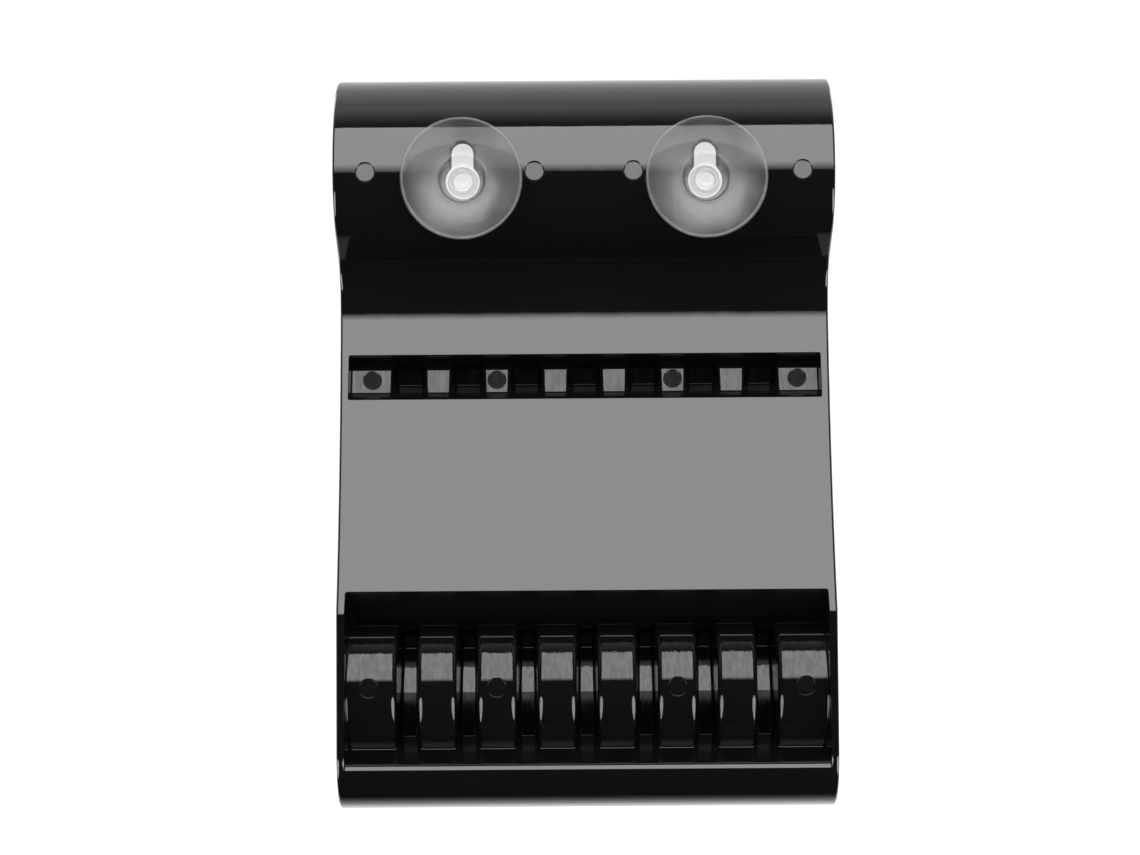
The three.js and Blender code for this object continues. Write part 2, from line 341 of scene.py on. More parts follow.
def row_lengths():
    """Lengths along the back curve where the shell has a row of vertices."""
    def heights(start, end, step):
        return [float(at_height(z, TABLE_S)) for z in spread(start, end, step)]

    lengths = []
    for section in SECTIONS:
        step = 2.5 if section["radius"] is None else min(3.0, section["radius"] * 0.045)
        lengths += spread(section["s"], section["s"] + section["length"], step)
    windows = [
        heights(UPPER["top"][0] + 0.7, UPPER["bottom"][0] - 0.7, 0.21),
        heights(LOWER["top"][0] + 0.8, -136.0, 0.22) + heights(-136.0, -146.6, 0.7)
        + heights(-146.6, -152.4, 0.2) + heights(-152.4, -163.8, 0.5)
        + heights(-163.8, -171.0, 0.26) + heights(-171.0, -186.4, 0.5)
        + heights(-186.4, LOWER["bottom"][0] - 0.8, 0.19),
    ]
    for window in windows:
        lengths = [s for s in lengths if not window[0] - 0.1 < s < window[-1] + 0.1] + window
    lengths = [s for s in lengths if EDGE_RADIUS + 0.3 < s < CURVE_LENGTH - EDGE_RADIUS - 0.3]
    return sorted(set(round(s, 5) for s in lengths)), windows


def column_sets():
    """x of the columns: a few for the plain rows, and more for the rows of each window."""
    rim = HALF_WIDTH - EDGE_RADIUS
    plain = [-rim, -78.0, 0.0, 78.0, rim]
    rim_zone = [79.0, 79.4, 79.6, 79.75, 79.9, 80.0, 80.1, 80.2, 80.35, 80.6]
    rim_zone += [-x for x in rim_zone]

    def window(offsets):
        columns = set(plain + rim_zone + spread(66.0, 78.0, 1.2) + spread(-78.0, -66.0, 1.2))
        for centre in TOOTH_X:
            columns |= {centre + side * offset for offset in offsets for side in (-1, 1)}
        for mark_x, _ in UPPER_MARKS:
            for x in spread(mark_x - 3.4, mark_x + 3.4, 0.27):
                columns |= {x, -x}
        ordered = sorted(round(x, 4) for x in columns)
        kept = [ordered[0]]
        for x in ordered[1:]:
            if x - kept[-1] > 0.07 or x in plain:
                kept.append(x)
        return [x for x in kept if x in plain or all(abs(x - p) > 0.05 for p in plain)]

    # Offsets from the middle of a hollow, close together where its sides and corners are.
    upper = window([0.0, 1.4] + spread(2.6, 7.4, 0.27) + [8.6, 10.0])
    lower = window([0.0] + spread(0.45, 6.7, 0.3) + [7.6, 8.8, 10.0])
    return plain, upper, lower


class Build:
    """Vertices, normals and faces of a mesh, gathered part by part."""

    def __init__(self):
        self.points, self.normals, self.faces = [], [], []

    def add(self, points, normals):
        first = len(self.points)
        self.points.extend(map(tuple, points))
        self.normals.extend(map(tuple, normals))
        return list(range(first, first + len(points)))


def half_width_at(s):
    """Half width of the shell near its rounded corners."""
    from_end = min(s, CURVE_LENGTH - s)
    if from_end >= CORNER_RADIUS:
        return HALF_WIDTH
    short = (CORNER_RADIUS - from_end) / CORNER_RADIUS
    return HALF_WIDTH - CORNER_RADIUS * (1 - math.sqrt(max(0.0, 1 - short * short)))


ROUNDING = [math.radians(a) for a in (22.5, 45.0, 67.5, 90.0)]


def round_edge(build, edge_point, edge_normal, sign):
    """Vertices that carry a row over the rounded edge of the shell's side."""
    points, normals = [], []
    for angle in ROUNDING:
        sink = EDGE_RADIUS * (1 - math.cos(angle))
        point = edge_point - sink * edge_normal * np.array([0, 1, 1])
        points.append(point + np.array([sign * EDGE_RADIUS * math.sin(angle), 0, 0]))
        normals.append(math.cos(angle) * edge_normal + math.sin(angle) * np.array([sign, 0, 0]))
    return build.add(points, normals)


def make_row(build, s, columns, front, windowed, sunk=0.0, lean=0.0):
    """Vertices of one row: rounded edge, columns, rounded edge. Returns their keys and ids.
    sunk moves the row into the wall and lean turns its normals over the end edge."""
    z, y, tilt = (float(v[0]) for v in along_curve(np.array([s])))
    out = outward(tilt)
    depth = (WALL - sunk) if front else sunk
    side = -out if front else out
    base = np.array([0.0, y, z]) - depth * out
    along = np.array([0.0, math.sin(tilt), math.cos(tilt)])
    if s > CURVE_LENGTH / 2:
        along = -along
    normal = math.cos(lean) * side + math.sin(lean) * along
    columns = np.array(columns)
    shrink = half_width_at(s) - HALF_WIDTH
    x = columns.copy()
    x[0] -= shrink
    x[-1] += shrink
    points = np.stack([x, np.full_like(x, base[1]), np.full_like(x, base[2])], -1)
    normals = np.tile(normal, (len(x), 1))
    if windowed:
        # The window's surface lies anywhere along Y, so the row keeps its x and z only.
        if not front:
            x, points[:, 2] = snap_to_marks(x, points[:, 2], UPPER_MARKS + LOWER_MARKS)
            points[:, 0] = x
        points[:, 1], normals = find_surface(x, points[:, 2], front)
    keys = list(columns)
    ids = build.add(points, normals)
    for end, sign in ((0, -1), (-1, 1)):
        ring = round_edge(build, points[end], normals[end], sign)
        ring_keys = [sign * (HALF_WIDTH + 1 + i) for i in range(len(ROUNDING))]
        if sign < 0:
            keys = ring_keys[::-1] + keys
            ids = ring[::-1] + ids
        else:
            keys = keys + ring_keys
            ids = ids + ring
    return dict(s=s, z=base[2], keys=[round(k, 4) for k in keys], ids=ids)


def join_rows(build, upper, lower, front, gaps):
    """Faces between two rows, one for each stretch between columns that both rows have."""
    lower_at = {key: i for i, key in enumerate(lower["keys"])}
    last = None
    for i, key in enumerate(upper["keys"]):
        if key not in lower_at:
            continue
        if last is not None:
            a, b = last, i
            c, d = lower_at[upper["keys"][last]], lower_at[key]
            middle = (upper["keys"][a] + upper["keys"][b]) / 2
            if not any(low < middle < high for low, high in gaps):
                loop = upper["ids"][a:b + 1] + lower["ids"][c:d + 1][::-1]
                build.faces.append(loop if front else loop[::-1])
        last = i


# ---------------------------------------------------------------- keyholes and crest marks

def keyhole_distance(x, z):
    """Distance outside the keyhole's outline, in mm, with the keyhole's round part at 0."""
    ball = math.hypot(x, z) - KEYHOLE_RADIUS
    slot = math.hypot(x, z - min(max(z, 0.0), KEYHOLE_TRAVEL)) - KEYHOLE_SLOT_HALF
    blend = 0.5
    corner = max(blend - abs(ball - slot), 0.0) / blend
    return min(ball, slot) - corner * corner * blend / 4


def circle_distance(x, z):
    """Distance outside a pin mark's outline, in mm."""
    return math.hypot(x, z) - MARK_RADIUS


# Rings of a punched hole: distance outside the outline, depth below the surface, and how far
# the normal leans into the hole, in degrees.
KEYHOLE_BACK = ((1.2, 0.0, 0), (1.05, 0.02, 12), (0.92, 0.08, 40), (0.8, 0.2, 47),
                (0.15, 0.92, 50), (0.04, 1.08, 70), (0.0, 1.25, 90))
KEYHOLE_FRONT = ((0.5, 0.0, 0), (0.3, 0.02, 20), (0.1, 0.12, 50), (0.02, 0.3, 75),
                 (0.0, 0.45, 90))
MARK_RINGS = ((0.36, 0.0, 0), (0.3, 0.03, 40), (0.02, 0.34, 52), (-0.04, 0.38, 20),
              (-0.1, 0.38, 0), (-1.2, 0.38, 0), (-2.4, 0.38, 0))
BRIDGE_LOOPS = 5


def plain_surface(x, z, front):
    """Point and normal of the shell at (x, z), on its back or on its front."""
    if front:
        back_z = z
        for _ in range(6):
            back_z = z + WALL * math.sin(float(at_height(back_z, TABLE_TILT)))
        z = back_z
    out = outward(float(at_height(z, TABLE_TILT)))
    y = float(at_height(z, TABLE_Y))
    point = np.array([x, y, z]) - (WALL if front else 0.0) * out
    return point, (-out if front else out)


def reach(distance, direction, offset):
    """Share of a direction from the centre at which an outline's distance is the offset."""
    low, high = 0.0, 1.0
    for _ in range(30):
        middle = (low + high) / 2
        if distance(*(direction * middle)) < offset:
            low = middle
        else:
            high = middle
    return high


def away_from(distance, x, z):
    """Unit direction in which the distance from an outline grows."""
    step = 0.02
    slope = np.array([distance(x + step, z) - distance(x - step, z), 0.0,
                      distance(x, z + step) - distance(x, z - step)])
    return slope / (np.linalg.norm(slope) + 1e-12)


def punch_rings(build, border, centre, distance, rings, front, floor_tilt=None):
    """Rings of vertices from the border loop of a window in the rows down into a hole.
    With a floor_tilt, the rings inside the outline lie on a flat floor."""
    centre_x, centre_z = centre
    border_points = np.array([build.points[i] for i in border])
    flat = border_points[:, [0, 2]] - np.array([centre_x, centre_z])
    loops = [border]

    widest = rings[0][0]
    outline = [direction * reach(distance, direction, widest) for direction in flat]
    for i in range(1, BRIDGE_LOOPS + 1):
        t = i / (BRIDGE_LOOPS + 1)
        places = [d * (1 - t) + o * t for d, o in zip(flat, outline)]
        made = [plain_surface(centre_x + p[0], centre_z + p[1], front) for p in places]
        loops.append(build.add([m[0] for m in made], [m[1] for m in made]))
    for offset, depth, lean in rings:
        points, normals = [], []
        for direction in flat:
            place = direction * reach(distance, direction, offset)
            point, out = plain_surface(centre_x + place[0], centre_z + place[1], front)
            if offset < 0 and floor_tilt is not None:
                tilt = math.radians(floor_tilt)
                out = outward(tilt)
                point[1] = STANDOFF + math.tan(tilt) * place[1]
            points.append(point - depth * np.array([0.0, out[1], 0.0]) / abs(out[1]))
            normals.append(math.cos(math.radians(lean)) * out
                           - math.sin(math.radians(lean)) * away_from(distance, *place))
        loops.append(build.add(points, normals))
    return loops


def join_loops(build, loops, front):
    """Quads between each loop and the next."""
    for outer, inner in zip(loops, loops[1:]):
        count = len(outer)
        for i in range(count):
            j = (i + 1) % count
            quad = [outer[i], outer[j], inner[j], inner[i]]
            build.faces.append(quad[::-1] if front else quad)


def window_in_rows(rows, first, last, low_key, high_key):
    """Border loop of a rectangle of the rows, seen from the back: top, right, bottom, left."""
    def between(row):
        return [i for k, i in zip(row["keys"], row["ids"]) if low_key <= k <= high_key]

    def at(row, key):
        return row["ids"][row["keys"].index(key)]

    top, bottom = between(rows[first]), between(rows[last])
    right = [at(rows[i], high_key) for i in range(first + 1, last)]
    left = [at(rows[i], low_key) for i in range(last - 1, first, -1)]
    return top + right + bottom[::-1] + left


# ---------------------------------------------------------------- the shell

def place_punches(lengths):
    """Rectangles of the rows that give way to the keyholes and the crest's pin marks."""
    heights = along_curve(lengths)[0]
    around_crest = [i for i, s in enumerate(lengths) if 20 < s < 120]

    def nearest_row(z):
        return min(around_crest, key=lambda i: abs(heights[i] - z))

    punches = []
    for sign in (-1, 1):
        x = sign * KEYHOLE_X
        punches.append(dict(
            first=nearest_row(16.5), last=nearest_row(-9.5), low=x - 9.0, high=x + 9.0,
            step=0.9, centre=(x, KEYHOLE_MIDDLE_Z), kind="keyhole"))
        for mark_x, mark_z in CREST_MARKS:
            x = sign * mark_x
            punches.append(dict(
                first=nearest_row(mark_z + 5.0), last=nearest_row(mark_z - 5.0),
                low=x - 5.0, high=x + 5.0, step=0.8, centre=(x, mark_z), kind="mark"))
    return punches


def build_shell():
    """The whole shell: rows of its back and front, its edges, and the punched holes."""
    build = Build()
    lengths, windows = row_lengths()
    plain, upper, lower = column_sets()
    punches = place_punches(lengths)
    sides = {}
    for front in (False, True):
        active = [p for p in punches if p["kind"] == "keyhole" or not front]
        rows = []
        for angle in ROUNDING[::-1]:
            rows.append(make_row(build, EDGE_RADIUS * (1 - math.sin(angle)), plain, front,
                                 False, EDGE_RADIUS * (1 - math.cos(angle)), angle))
        rows.append(make_row(build, EDGE_RADIUS, plain, front, False))
        offset = len(rows)
        for i, s in enumerate(lengths):
            windowed = any(w[0] - 1e-4 <= s <= w[-1] + 1e-4 for w in windows)
            columns = plain
            if windowed:
                columns = upper if s < windows[0][-1] + 1 else lower
            extra = set()
            for punch in active:
                if punch["first"] <= i <= punch["last"]:
                    extra |= {punch["low"], punch["high"]}
                if i in (punch["first"], punch["last"]):
                    extra |= set(spread(punch["low"], punch["high"], punch["step"]))
            if extra:
                columns = sorted(set(round(x, 4) for x in list(columns) + list(extra)))
            rows.append(make_row(build, s, columns, front, windowed))
        rows.append(make_row(build, CURVE_LENGTH - EDGE_RADIUS, plain, front, False))
        for angle in ROUNDING:
            rows.append(make_row(
                build, CURVE_LENGTH - EDGE_RADIUS * (1 - math.sin(angle)), plain, front, False,
                EDGE_RADIUS * (1 - math.cos(angle)), angle))
        for i in range(len(rows) - 1):
            gaps = [(p["low"], p["high"]) for p in active
                    if p["first"] <= i - offset < p["last"]]
            join_rows(build, rows[i], rows[i + 1], front, gaps)
        sides[front] = (rows, active, offset)

    add_edges(build, sides[False][0], sides[True][0])
    add_punches(build, sides)
    return build


def add_edges(build, back_rows, front_rows):
    """Closes the shell along its two sides and its two ends."""
    for i in range(len(back_rows) - 1):
        for end in (0, -1):
            quad = [back_rows[i]["ids"][end], front_rows[i]["ids"][end],
                    front_rows[i + 1]["ids"][end], back_rows[i + 1]["ids"][end]]
            build.faces.append(quad[::-1] if end == 0 else quad)
    for row in (0, -1):
        back, front = back_rows[row]["ids"], front_rows[row]["ids"]
        for i in range(len(back) - 1):
            quad = [back[i], back[i + 1], front[i + 1], front[i]]
            build.faces.append(quad[::-1] if row == 0 else quad)


def add_punches(build, sides):
    """Fills the gaps left for the crest's marks and for the keyholes, which go through."""
    back_rows, back_active, offset = sides[False]
    front_rows = sides[True][0]
    for punch in back_active:
        span = (punch["first"] + offset, punch["last"] + offset)
        keys = (round(punch["low"], 4), round(punch["high"], 4))
        centre = punch["centre"]
        if punch["kind"] == "mark":
            border = window_in_rows(back_rows, *span, *keys)
            loops = punch_rings(build, border, centre, circle_distance, MARK_RINGS, False,
                                CREST_MARK_TILT)
            join_loops(build, loops, True)
            build.faces.append(loops[-1][::-1])
            continue

        def distance(x, z):
            return keyhole_distance(x, z + KEYHOLE_MIDDLE_Z)

        back_loops = punch_rings(build, window_in_rows(back_rows, *span, *keys), centre,
                                 distance, KEYHOLE_BACK, False)
        front_loops = punch_rings(build, window_in_rows(front_rows, *span, *keys), centre,
                                  distance, KEYHOLE_FRONT, True)
        join_loops(build, back_loops + front_loops[::-1], True)


def mesh_object(name, points, faces, normals=None):
    """A smooth mesh in the scene, from points in mm, with its own normals where given."""
    mesh = bpy.data.meshes.new(name)
    mesh.from_pydata([tuple(c * MM for c in p) for p in points], [], faces)
    mesh.validate()
    mesh.shade_smooth()
    if normals is not None:
        normals = np.array(normals)
        lengths = np.linalg.norm(normals, axis=1, keepdims=True)
        mesh.normals_split_custom_set_from_vertices(normals / lengths)
    mesh.update()
    piece = bpy.data.objects.new(name, mesh)
    bpy.context.scene.collection.objects.link(piece)
    return piece


# ---------------------------------------------------------------- suction cups

def arc_points(centre, radius, start, end, count):
    """Points (radius, height) on an arc, with angles in degrees from the radial direction."""
    angles = np.radians(np.linspace(start, end, count))
    return [(centre[0] + radius * math.cos(a), centre[1] + radius * math.sin(a))
            for a in angles]


def cup_profile():
    """Half section of a cup as (radius, distance from the wall), from the dish to the head."""
    profile = [(0.0, 5.35), (0.5, 5.33), (0.62, 5.2), (0.9, 5.12), (1.25, 5.2), (1.5, 5.22),
               (2.3, 5.2), (2.45, 5.12), (2.75, 5.12), (2.9, 5.2), (3.9, 5.18), (4.05, 5.1),
               (4.3, 5.1), (4.45, 5.15), (5.6, 5.0), (6.7, 4.78)]
    profile += arc_points((7.0, 4.35), 0.35, 70, 0, 4)
    for i in range(1, 15):
        r = 7.5 + (18.6 - 7.5) * i / 14
        profile.append((r, 0.25 + 4.3 * (1 - ((r - 7.3) / 11.6) ** 1.7)))
    profile += [(18.95, 0.08), (19.2, 0.0), (19.6, 0.0)]
    profile += arc_points((19.6, 0.35), 0.35, -60, 75, 6)
    profile += [(19.35, 0.85), (19.0, 1.0), (18.75, 1.12)]
    for i in range(1, 13):
        r = 18.75 + (8.6 - 18.75) * i / 12
        profile.append((r, 1.3 + 4.75 * (1 - ((r - 8.0) / 11.0) ** 1.6) if r > 8.0 else 6.05))
    profile += arc_points((8.35, 7.15), 1.1, -95, -172, 6)
    profile += [(7.2, 7.9), (7.12, 9.9)]
    profile += arc_points((6.62, 10.15), 0.5, 0, 90, 5)
    profile += [(5.0, 10.66)]
    profile += arc_points((3.7, 11.16), 0.5, -90, -180, 5)
    profile += [(3.15, 12.5), (3.15, 14.7)]
    profile += arc_points((3.65, 14.72), 0.5, 180, 110, 4)
    profile += [(4.6, 15.22)]
    profile += arc_points((4.75, 15.62), 0.4, -90, 20, 6)
    for i in range(1, 9):
        angle = math.radians(90 * i / 9)
        profile.append((5.12 * math.cos(angle) ** 0.9, 15.8 + 2.75 * math.sin(angle)))
    profile.append((0.0, 18.56))
    return profile


def build_cup(name, body, centre_x):
    """A cup turned round its axis, with the rim on the wall and the head in the room."""
    profile = cup_profile()
    segments = 112
    points, faces, rings = [], [], []
    for radius, height in profile:
        if radius == 0.0:
            rings.append([len(points)] * segments)
            points.append((centre_x, height, 0.0))
            continue
        rings.append(list(range(len(points), len(points) + segments)))
        for i in range(segments):
            angle = 2 * math.pi * i / segments
            points.append((centre_x + radius * math.sin(angle), height,
                           radius * math.cos(angle)))
    for inner, outer in zip(rings, rings[1:]):
        for i in range(segments):
            j = (i + 1) % segments
            loop = [inner[i], inner[j], outer[j], outer[i]]
            faces.append([v for k, v in enumerate(loop) if v != loop[k - 1]])
    piece = mesh_object(name, points, faces)
    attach(piece, body)
    return piece


# ---------------------------------------------------------------- materials

def new_material(name):
    material = bpy.data.materials.new(name)
    material.use_nodes = True
    nodes, links = material.node_tree.nodes, material.node_tree.links
    return material, nodes, links, nodes["Principled BSDF"]


def math_node(nodes, links, operation, first, second=None):
    """Output of a Math node; each input is a number or another node's output."""
    node = nodes.new("ShaderNodeMath")
    node.operation = operation
    for socket, value in zip(node.inputs, (first, second)):
        if value is None:
            continue
        if isinstance(value, (int, float)):
            socket.default_value = value
        else:
            links.new(value, socket)
    return node.outputs[0]


def noise_node(nodes, links, vector, scale, detail, roughness=0.5):
    node = nodes.new("ShaderNodeTexNoise")
    node.inputs["Scale"].default_value = scale
    node.inputs["Detail"].default_value = detail
    node.inputs["Roughness"].default_value = roughness
    links.new(vector, node.inputs["Vector"])
    return node.outputs["Fac"]


def remap(nodes, links, value, low, high, to_low, to_high):
    node = nodes.new("ShaderNodeMapRange")
    links.new(value, node.inputs["Value"])
    for socket, number in zip(("From Min", "From Max", "To Min", "To Max"),
                              (low, high, to_low, to_high)):
        node.inputs[socket].default_value = number
    return node.outputs["Result"]


def mark_mask(nodes, links, coordinates, radius):
    """1 within a radius of the centres of the round ejector-pin marks and 0 elsewhere."""
    split = nodes.new("ShaderNodeSeparateXYZ")
    links.new(coordinates, split.inputs[0])
    join = nodes.new("ShaderNodeCombineXYZ")
    links.new(math_node(nodes, links, "ABSOLUTE", split.outputs[0]), join.inputs[0])
    links.new(split.outputs[2], join.inputs[2])
    nearest = None
    for mark_x, mark_z in CREST_MARKS + UPPER_MARKS + LOWER_MARKS:
        away = nodes.new("ShaderNodeVectorMath")
        away.operation = "DISTANCE"
        links.new(join.outputs[0], away.inputs[0])
        away.inputs[1].default_value = (mark_x * MM, 0, mark_z * MM)
        distance = away.outputs["Value"]
        nearest = distance if nearest is None else math_node(
            nodes, links, "MINIMUM", nearest, distance)
    inside = remap(nodes, links, nearest, (radius + 0.03) * MM, (radius - 0.03) * MM, 0.0, 1.0)
    backed = math_node(nodes, links, "LESS_THAN", split.outputs[1], MARKS_FRONT_Y * MM)
    return math_node(nodes, links, "MULTIPLY", inside, backed)


def blend(nodes, links, factor, first, second):
    """Mix of two values by a factor."""
    mix = nodes.new("ShaderNodeMix")
    mix.data_type = "FLOAT"
    links.new(factor, mix.inputs["Factor"])
    links.new(first, mix.inputs["A"])
    links.new(second, mix.inputs["B"])
    return mix.outputs["Result"]


def zone(nodes, links, split, low_z, high_z, from_y):
    """Mask of what lies between two heights and further from the wall than from_y."""
    under = remap(nodes, links, split.outputs[2], high_z * MM, (high_z - 0.4) * MM, 0.0, 1.0)
    over = remap(nodes, links, split.outputs[2], low_z * MM, (low_z + 0.4) * MM, 0.0, 1.0)
    deep = remap(nodes, links, split.outputs[1], from_y * MM, (from_y + 0.8) * MM, 0.0, 1.0)
    return math_node(nodes, links, "MULTIPLY", math_node(nodes, links, "MULTIPLY", under, over),
                     deep)


# Zones of the windows, as lowest z, highest z and the y that they start from, in mm: the dull
# roofs, hollows and ledges, where a lower specular level paints shade, the floors of the bays,
# where streaks and painted shade lower it, and the matt pin marks of the rack, darkened with
# painted shade.
DULL_AND_SHADED_ZONES = (
    (-61.0, -56.5, 36.5), (-69.2, -60.6, 42.5), (-71.4, -68.8, 34.3),
    (-151.0, -135.3, 16.5), (-161.0, -150.6, 26.5), (-188.4, -170.6, 26.5), (-193.0, -189.1, 12.8),
)
BAY_ZONES = ((-69.2, -61.0, 39.0), (-186.0, -151.2, 14.0))
RACK_MARK_ZONES = ((-171.0, -163.8, 15.0),)


def window_zones(nodes, links, coordinates, zones):
    """Mask of the zones on the wall side of the shell."""
    split = nodes.new("ShaderNodeSeparateXYZ")
    links.new(coordinates, split.inputs[0])
    mask = None
    for low_z, high_z, from_y in zones:
        part = zone(nodes, links, split, low_z, high_z, from_y)
        mask = part if mask is None else math_node(nodes, links, "MAXIMUM", mask, part)
    facing = nodes.new("ShaderNodeSeparateXYZ")
    links.new(coordinates.node.outputs["Normal"], facing.inputs[0])
    behind = math_node(nodes, links, "LESS_THAN", facing.outputs[1], 0.02)
    return math_node(nodes, links, "MULTIPLY", mask, behind)


def drawing_streaks(nodes, links, coordinates):
    """Fine vertical streaks, as moulds leave on deep faces."""
    stretch = nodes.new("ShaderNodeMapping")
    stretch.inputs["Scale"].default_value = (1.0, 1.0, 0.06)
    links.new(coordinates, stretch.inputs["Vector"])
    return noise_node(nodes, links, stretch.outputs[0], 900.0, 3.0)


def black_plastic():
    """Gloss black moulding: smeary gloss outside, streaked and duller faces in the windows,
    matt pin marks, and a little dust. A lower specular level paints shade into the windows'
    recesses and bays, and onto the rack's pin marks."""
    material, nodes, links, shader = new_material("gloss_black_plastic")
    coordinates = nodes.new("ShaderNodeTexCoord").outputs["Object"]
    mask = mark_mask(nodes, links, coordinates, MARK_RADIUS)
    rim_mask = mark_mask(nodes, links, coordinates, MARK_RADIUS + 0.4)
    flow = noise_node(nodes, links, coordinates, 16.0, 3.0)
    smears = noise_node(nodes, links, coordinates, 90.0, 4.0, 0.6)
    gloss = math_node(nodes, links, "ADD",
                      remap(nodes, links, flow, 0.35, 0.7, 0.0, 0.02),
                      remap(nodes, links, smears, 0.5, 0.8, 0.035, 0.075))
    rough_mark = remap(nodes, links, noise_node(nodes, links, coordinates, 900.0, 2.0),
                       0.3, 0.7, 0.28, 0.36)
    dull_and_shaded = window_zones(nodes, links, coordinates, DULL_AND_SHADED_ZONES)
    streaks = drawing_streaks(nodes, links, coordinates)
    streaked = remap(nodes, links, streaks, 0.35, 0.65, 0.1, 0.24)
    polished = blend(nodes, links, dull_and_shaded, gloss, streaked)
    links.new(blend(nodes, links, mask, polished, rough_mark), shader.inputs["Roughness"])
    # Around the rack's pin marks the specular level is lowered too: painted shade that darkens
    # them.
    rack_mark_shade_zone = window_zones(nodes, links, coordinates, RACK_MARK_ZONES)
    bay = window_zones(nodes, links, coordinates, BAY_ZONES)
    # In the bays the specular level falls with the streaks: real streaks, and painted shade that
    # dims the faces.
    bay_streaks_and_shade = math_node(nodes, links, "MULTIPLY", bay,
                     remap(nodes, links, streaks, 0.35, 0.65, 0.25, 0.5))
    painted_shade = math_node(nodes, links, "MAXIMUM", dull_and_shaded,
                     math_node(nodes, links, "MULTIPLY", rim_mask, rack_mark_shade_zone))
    painted_shade = math_node(nodes, links, "MAXIMUM", painted_shade, bay_streaks_and_shade)
    # The specular level falls from 0.5 to 0.09 where this mask is full: painted shade in the
    # windows.
    links.new(remap(nodes, links, painted_shade, 0.0, 1.0, 0.5, 0.09),
              shader.inputs["Specular IOR Level"])

    specks = nodes.new("ShaderNodeTexVoronoi")
    specks.inputs["Scale"].default_value = 170.0
    links.new(coordinates, specks.inputs["Vector"])
    dust = math_node(nodes, links, "MULTIPLY",
                     remap(nodes, links, specks.outputs["Distance"], 0.05, 0.025, 0.0, 1.0),
                     remap(nodes, links, noise_node(nodes, links, coordinates, 60.0, 1.0),
                           0.66, 0.7, 0.0, 1.0))
    colour = nodes.new("ShaderNodeMix")
    colour.data_type = "RGBA"
    colour.inputs["A"].default_value = (0.0021, 0.0021, 0.0022, 1)
    colour.inputs["B"].default_value = (0.03, 0.03, 0.029, 1)
    links.new(dust, colour.inputs["Factor"])
    links.new(colour.outputs["Result"], shader.inputs["Base Color"])

    ripple = nodes.new("ShaderNodeBump")
    ripple.inputs["Strength"].default_value = 0.06
    ripple.inputs["Distance"].default_value = 0.0004
    links.new(noise_node(nodes, links, coordinates, 110.0, 2.0), ripple.inputs["Height"])
    drawn = nodes.new("ShaderNodeBump")
    drawn.inputs["Strength"].default_value = 0.2
    drawn.inputs["Distance"].default_value = 0.0002
    links.new(math_node(nodes, links, "MULTIPLY", streaks, bay), drawn.inputs["Height"])
    links.new(ripple.outputs["Normal"], drawn.inputs["Normal"])
    links.new(drawn.outputs["Normal"], shader.inputs["Normal"])
    shader.inputs["IOR"].default_value = 1.5
    return material


def clear_vinyl():
    """Cloudy clear film for the suction cups."""
    material, nodes, links, shader = new_material("clear_vinyl")
    coordinates = nodes.new("ShaderNodeTexCoord").outputs["Object"]
    cloud = noise_node(nodes, links, coordinates, 55.0, 4.0)
    links.new(remap(nodes, links, cloud, 0.3, 0.75, 0.3, 0.45), shader.inputs["Roughness"])
    tint = nodes.new("ShaderNodeMix")
    tint.data_type = "RGBA"
    tint.inputs["A"].default_value = (0.025, 0.026, 0.027, 1)
    tint.inputs["B"].default_value = (0.1, 0.102, 0.104, 1)
    links.new(remap(nodes, links, cloud, 0.35, 0.65, 0.0, 1.0), tint.inputs["Factor"])
    links.new(tint.outputs["Result"], shader.inputs["Base Color"])
    ripple = nodes.new("ShaderNodeBump")
    ripple.inputs["Strength"].default_value = 0.15
    ripple.inputs["Distance"].default_value = 0.0005
    links.new(noise_node(nodes, links, coordinates, 120.0, 3.0), ripple.inputs["Height"])
    links.new(ripple.outputs["Normal"], shader.inputs["Normal"])
    shader.inputs["IOR"].default_value = 2.2
    shader.inputs["Sheen Weight"].default_value = 0.35
    shader.inputs["Sheen Roughness"].default_value = 0.2
    shader.inputs["Alpha"].default_value = 0.27
    return material


# ---------------------------------------------------------------- camera, floor and light

CAMERA_DISTANCE = 825.0     # mm, from the crest to the lens
CAMERA_HEIGHT = -81.3
CAMERA_OFFSET = -5.15
CAMERA_LENS = 79.1
CAMERA_ROLL = 0.4

KEY_WIDTH = 1.5
KEY_RADIANCE = 6.5
FEATHERS = 5
FEATHER_WIDTH = 0.014


def aim(thing, target):
    """Turns a light towards a point."""
    direction = Vector(target) - thing.location
    thing.rotation_mode = "QUATERNION"
    thing.rotation_quaternion = direction.to_track_quat("-Z", "Y")


def add_camera():
    """A camera on the wall side, square to the back of the rack."""
    data = bpy.data.cameras.new("camera")
    data.lens = CAMERA_LENS
    data.sensor_width = 36.0
    camera = bpy.data.objects.new("camera", data)
    bpy.context.scene.collection.objects.link(camera)
    camera.location = (CAMERA_OFFSET * MM, (STANDOFF - CAMERA_DISTANCE) * MM, CAMERA_HEIGHT * MM)
    camera.rotation_euler = (math.radians(90), math.radians(CAMERA_ROLL), 0)
    bpy.context.scene.camera = camera


def add_softbox(name, centre, target, width, height, radiance, shape="RECTANGLE"):
    """An area light, in metres, whose radiance is how bright it looks, whatever its size."""
    data = bpy.data.lights.new(name, "AREA")
    data.shape = shape
    data.size, data.size_y = width, height
    area = width * height * (math.pi / 4 if shape == "ELLIPSE" else 1)
    data.energy = radiance * math.pi * area
    light = bpy.data.objects.new(name, data)
    bpy.context.scene.collection.objects.link(light)
    light.location = centre
    aim(light, target)
    light.visible_camera = False
    return light


